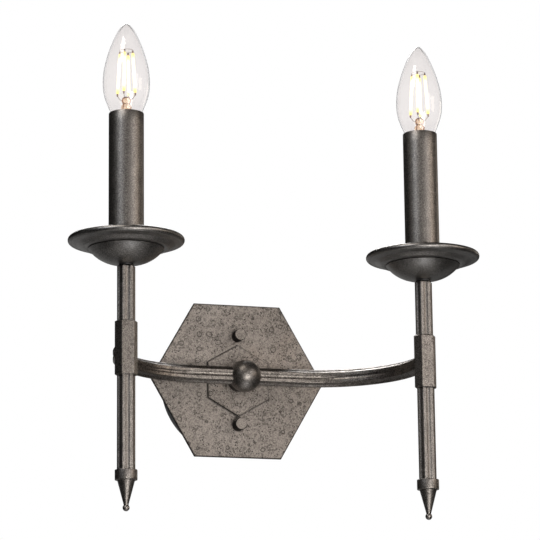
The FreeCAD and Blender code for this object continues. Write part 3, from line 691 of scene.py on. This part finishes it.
def finial_outline(spigot_length):
    """Spigot, ring, cone and bead of a turned drop; heights count from the ring's top."""
    centre = -bead_depth()
    tip = -finial_ring_height - finial_cone_height
    corners = [(finial_spigot_radius, spigot_length), (finial_spigot_radius, 0.0),
               (finial_ring_radius, 0.0), (finial_ring_radius, -finial_ring_height),
               (finial_cone_radius, -finial_ring_height), (finial_cone_tip, tip)]
    start = math.atan2(tip - centre, finial_cone_tip)
    sweep = -math.pi / 2 - start
    bead = [(finial_bead_radius * math.cos(a), centre + finial_bead_radius * math.sin(a))
            for a in [start + sweep * k / finial_bead_steps for k in range(finial_bead_steps)]]
    return ([(0.0, spigot_length)] + softened(corners, finial_corner, steps=5)[:-1] + bead
            + [(0.0, centre - finial_bead_radius)])


def nut_outline():
    """Cap nut: its mouth at the plate, its closed end outward."""
    corners = [(nut_bore, 0.0), (nut_radius - nut_foot_ease, 0.0), (nut_radius, nut_foot_rise),
               (nut_radius, nut_length - nut_chamfer), (nut_radius - nut_chamfer, nut_length)]
    return softened(corners, nut_corner) + [
        (0.0, nut_length), (0.0, nut_length - nut_cap), (nut_bore, nut_length - nut_cap)]


def glass_outline():
    """Candle-shaped glass with a wall of even thickness."""
    outer = flowing(glass_points, steps=8)
    inner = inset(outer, glass_wall)
    inner[0] = (glass_points[0][0] - glass_wall, 0.0)
    inner = [q for q in inner if q[0] > glass_least_radius]
    inner.append((0.0, glass_points[-1][1] - glass_wall))
    return outer + inner[::-1]


def threaded(low, high, pitch, depth):
    """Heights of a screw thread and how far it swells there, for spin."""
    rows = round((high - low) / pitch * cap_thread_rows)
    heights = [low + (high - low) * k / rows for k in range(rows + 1)]

    def swell(angle, height):
        fade = min((height - low) / pitch, (high - height) / pitch, 0.5) * 2
        wave = 0.5 + 0.5 * math.cos(math.tau * (height - low) / pitch - angle)
        return depth * wave * max(fade, 0.0)

    return heights, swell


def draw_lamp_cap(bm, top, length):
    """Rolled screw cap with one running thread; heights count down from its top."""
    core = cap_radius - cap_thread_depth
    inner = core - cap_sheet
    low = cap_stub - length
    heights, swell = threaded(low, low + cap_thread_length, cap_thread_pitch, cap_thread_depth)
    outline = [(inner, -length), (core, -length)] + [(core, h) for h in heights]
    outline += [(core, -cap_flare_height),
                (cap_flare_radius - cap_flare_side_ease, -cap_flare_height * 0.6),
                (cap_flare_radius, -cap_flare_height / 2),
                (cap_flare_radius, -cap_flare_top_ease),
                (cap_flare_radius - cap_flare_top_ease, 0.0),
                (cap_flare_radius - cap_sheet, 0.0), (inner, -cap_flare_height)]
    spin(bm, outline, top, steps=96, swell=swell)


def lamp_ends(base):
    """Foot and head of each glowing rod, in metres."""
    ends = []
    for i in range(filament_count):
        angle = math.radians(filament_turn + 360 / filament_count * i)
        way = Vector((math.cos(angle), math.sin(angle), 0))
        ends.append([base + (way * r + UP * h) * MM for r, h in (filament_foot, filament_head)])
    return ends


def draw_filaments(bm, base):
    """The glowing rods, with domed ends."""
    for foot, head in lamp_ends(base):
        along = (head - foot).normalized() * filament_radius * MM
        strand(bm, [foot + along, head - along], filament_radius * MM, sides=16)


def draw_lamp_wires(bm, base):
    """Ferrules on the rods, the ring that joins the heads and the wires from the press."""
    for foot, head in lamp_ends(base):
        up = (head - foot).normalized()
        out = Vector((head.x - base.x, head.y - base.y, 0)).normalized()
        for end, way in ((head, up), (foot, -up)):
            strand(bm, [end - way * ferrule_inside * MM, end + way * ferrule_beyond * MM],
                   ferrule_radius * MM)
        crown = base + UP * crown_height * MM + out * filament_head[0] * MM
        strand(bm, [head + up * crown_wire_start * MM, crown], wire_radius * MM, wire_sides)
        start, knee = (base + (out * r + UP * h) * MM
                       for r, h in (foot_wire_start, foot_wire_knee))
        strand(bm, bent(start, knee, foot - up * foot_wire_end * MM),
               wire_radius * foot_wire_share * MM, wire_sides)
    ring = [base + UP * crown_height * MM
            + Vector((math.cos(a), math.sin(a), 0)) * filament_head[0] * MM
            for a in turns(crown_steps)]
    strand(bm, ring, wire_radius * crown_wire_share * MM, wire_sides)


def draw_press_leads(bm, base):
    """Copper leads sealed in the glass press, with the loop at its head."""
    leads = [[(way * x, y, z) for x, y, z in press_lead_points] for way in (-1, 1)]
    loop = [(press_loop_half_width * math.cos(a), 0,
             press_loop_middle + press_loop_half_height * math.sin(a))
            for a in turns(press_loop_steps)]
    for points in leads + [loop]:
        strand(bm, [base + Vector(point) * MM for point in points], press_lead_radius * MM,
               wire_sides)


def bent(first, knee, last):
    """A smooth bend from first to last, drawn towards the knee."""
    return [first.lerp(knee, t).lerp(knee.lerp(last, t), t)
            for t in [k / foot_wire_steps for k in range(foot_wire_steps + 1)]]


def make_cup(side):
    """Drip cup round the foot of a candle."""
    cup = side + "_drip_cup"
    piece(cup + "_turned", lambda bm: spin(bm, cup_outline(), foot_of(cup)), "cup_pewter",
          "fixture", [cup], sharp=40)


def make_sleeve(side):
    """Loose tube that hides a lampholder."""
    sleeve = side + "_candle_sleeve"
    piece(sleeve + "_tube",
          lambda bm: spin(bm, sleeve_outline(height_of(sleeve)), foot_of(sleeve)),
          "smooth_pewter", sleeve, [sleeve])


def make_finial(side):
    """Drop below a stem, placed by the underside of its bead."""
    finial = side + "_finial"
    low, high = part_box(finial)
    neck = foot_of(finial)
    neck.z = low.z + (bead_depth() + finial_bead_radius) * MM
    piece(finial + "_turned",
          lambda bm: spin(bm, finial_outline((high.z - neck.z) / MM), neck),
          "smooth_pewter", "fixture", [finial])


def make_lamp(side):
    """The candle lamp's glass, screw cap, glass press, leads, glowing rods and wires."""
    lamp = side + "_lamp"
    base = foot_of(lamp + "_glass")
    cap_top = Vector((base.x, base.y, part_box(lamp + "_cap")[1].z))
    piece(lamp + "_envelope", lambda bm: spin(bm, glass_outline(), base, steps=96), "clear_glass",
          lamp, [lamp + "_glass"], sharp=60)
    piece(lamp + "_cap_threaded",
          lambda bm: draw_lamp_cap(bm, cap_top, height_of(lamp + "_cap")),
          "brass", lamp, [lamp + "_cap"], sharp=50)
    piece(lamp + "_press",
          lambda bm: spin(bm, [(0.0, 0.0)] + flowing(press_points, steps=4), base, steps=64),
          "press_glass", lamp, [lamp + "_stem"], sharp=60)
    piece(lamp + "_leads", lambda bm: draw_press_leads(bm, base), "copper_wire", lamp, [],
          sharp=60)
    piece(lamp + "_rods", lambda bm: draw_filaments(bm, base), "filament", lamp,
          [lamp + "_filaments"])
    piece(lamp + "_crown", lambda bm: draw_lamp_wires(bm, base), "lamp_wire", lamp,
          [lamp + "_wires"])


def make_thumb_nut(which):
    """Cap nut that holds the plates on a stud."""
    nut = which + "_thumb_nut"
    low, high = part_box(nut)
    seat = Vector(((low.x + high.x) / 2, high.y, (low.z + high.z) / 2))
    piece(nut + "_turned", lambda bm: spin(bm, nut_outline(), seat, OUT, steps=64),
          "nut_pewter", nut, [nut])


for side in ("left", "right"):
    make_cup(side)
    make_sleeve(side)
    make_finial(side)
    make_lamp(side)
for which in ("upper", "lower"):
    make_thumb_nut(which)

# ------------------------------------------------------------------ finishes of the CAD nodes

# Nodes whose finish isn't the one of their slot in the record.
# Painted shade: the candle tubes are black enamel where they show in the shadowed gap under the
# cups.
special = {"hex_backplate": "plate_pewter", "hub_ball": "smooth_pewter",
           "hub_neck": "neck_shade_pewter", "left_stem": "smooth_pewter",
           "right_stem": "smooth_pewter", "left_candle_tube": "black_enamel",
           "right_candle_tube": "black_enamel"}
slot_of = {row["node"]: row["material_slot"] for row in frame["record"]["subparts"]}
for name, thing in nodes.items():
    finish = special.get(name, slot_of[name])
    thing.data.materials.clear()
    thing.data.materials.append(finishes[finish])

# ------------------------------------------------------------------ studio

room_light = 0.008
wall_glow = 0.45
surround_glow = 0.22
lamp_reach = 1.6
lamp_aim = Vector((0, -0.06, 0.06))

# Turn and rise in degrees, width and height in metres, power in watts, colour.
soft_boxes = {
    "right_soft_box": (30, 14, (0.6, 0.7), 4.6, (1.0, 0.96, 0.93)),
    "side_soft_box": (54, 12, (0.5, 0.6), 3.5, (1.0, 0.86, 0.72)),
    "low_soft_box": (3, -17, (0.8, 0.6), 16.5, (1.0, 0.97, 0.93)),
    "under_soft_box": (3, -67, (0.5, 0.5), 2.4, (0.94, 0.97, 1.0)),
    "left_soft_box": (-53, 30, (0.4, 0.6), 6.0, (0.85, 0.92, 1.0)),
    "high_soft_box": (-46, 50, (0.5, 0.6), 9.0, (1.0, 0.93, 0.84)),
    "right_edge_soft_box": (114, 10, (0.5, 0.6), 1.3, (1.0, 0.90, 0.78)),
    "back_soft_box": (172, 50, (0.8, 0.6), 18.0, (1.0, 1.0, 1.0)),
}

floor_height = -1.55
floor_half = 0.9
floor_glow = (0.62, 0.62, 0.62)


def studio_floor():
    """Small pale floor well below; the camera and glass see it a little lit."""
    bm = bmesh.new()
    corners = [bm.verts.new((x, y, floor_height)) for y in (-floor_half, floor_half)
               for x in (-floor_half, floor_half)]
    bm.faces.new((corners[0], corners[1], corners[3], corners[2]))
    mesh = bpy.data.meshes.new("studio_floor")
    bm.to_mesh(mesh)
    bm.free()
    f = Finish("floor_paper", roughness=0.9, specular_ior_level=0.1, emission_strength=1.0)
    seen = f.ray("Camera").larger(f.ray("Transmission"))
    f.set("Emission Color", f.mixed(seen, (0, 0, 0), floor_glow))
    f.set("Base Color", f.mixed(f.noise(3.0), (0.80, 0.80, 0.80), (0.82, 0.82, 0.82)))
    mesh.materials.append(f.material)
    floor = bpy.data.objects.new("studio_floor", mesh)
    bpy.context.scene.collection.objects.link(floor)


def studio_world():
    """White behind everything the camera and glass see; a dim room for metal and the light."""
    world = bpy.data.worlds.new("studio")
    world.use_nodes = True
    room = Nodes(world.node_tree)
    back = next(n for n in room.tree.nodes if n.type == "BACKGROUND")
    way = room.add("ShaderNodeTexCoord", {}, {}, "Generated")
    wallward, upward = way.part("Y"), way.part("Z")
    behind = room.ramped(wallward, 0.88, 0.98) * room.ramped(upward, 0.10, -0.05)
    below = room.ramped(upward, -0.10, -0.40) * room.ramped(upward, -0.85, -0.60)
    around = room.ramped(wallward, 0.20, 0.55) * below
    level = room.ramped(upward, 0.80, 0.45) * room.ramped(upward, -0.80, -0.52)
    mirrored = room.ray("Glossy") * (behind * wall_glow).larger(around * surround_glow)
    seen = room.ray("Camera").larger(room.ray("Transmission") * level).larger(mirrored)
    room.feed(back.inputs["Color"], (1, 1, 1))
    room.feed(back.inputs["Strength"], seen * (1 - room_light) + room_light)
    bpy.context.scene.world = world


def soft_box(name, turn, rise, size, power, colour):
    """Area lamp aimed at the middle, turned from straight ahead and raised, in degrees."""
    turn, rise = math.radians(turn), math.radians(rise)
    way = Vector((math.sin(turn) * math.cos(rise), -math.cos(turn) * math.cos(rise),
                  math.sin(rise)))
    lamp = bpy.data.lights.new(name, "AREA")
    lamp.shape = "RECTANGLE"
    lamp.size, lamp.size_y = size
    lamp.energy = power
    lamp.color = colour
    box = bpy.data.objects.new(name, lamp)
    box.location = lamp_aim + way * lamp_reach
    box.rotation_euler = (-way).to_track_quat("-Z", "Y").to_euler()
    box.visible_camera = False
    box.visible_transmission = False
    bpy.context.scene.collection.objects.link(box)


studio_floor()
studio_world()
for name, settings in soft_boxes.items():
    soft_box(name, *settings)

# ------------------------------------------------------------------ camera

camera_place = Vector((-0.57749, -2.04205, -0.38296))
camera_yaw, camera_pitch, camera_roll = (math.radians(a) for a in (16.73, 12.68, -0.64))
camera_lens = 182.84
camera_film = 36.0
camera_nearest = 0.05


def hang_camera():
    """The camera that matches the photograph's viewing angle."""
    forward = Vector((math.sin(camera_yaw) * math.cos(camera_pitch),
                      math.cos(camera_yaw) * math.cos(camera_pitch), math.sin(camera_pitch)))
    level = Vector((math.cos(camera_yaw), -math.sin(camera_yaw), 0))
    upward = level.cross(forward)
    c, s = math.cos(camera_roll), math.sin(camera_roll)
    right = level * c + upward * s
    top = upward * c - level * s
    lens = bpy.data.cameras.new("camera")
    lens.sensor_width = camera_film
    lens.lens = camera_lens
    lens.clip_start = camera_nearest
    camera = bpy.data.objects.new("camera", lens)
    turn = Matrix((right, top, -forward)).transposed()
    camera.matrix_world = Matrix.Translation(camera_place) @ turn.to_4x4()
    bpy.context.scene.collection.objects.link(camera)
    bpy.context.scene.camera = camera


hang_camera()
bpy.context.scene.view_settings.view_transform = "Standard"
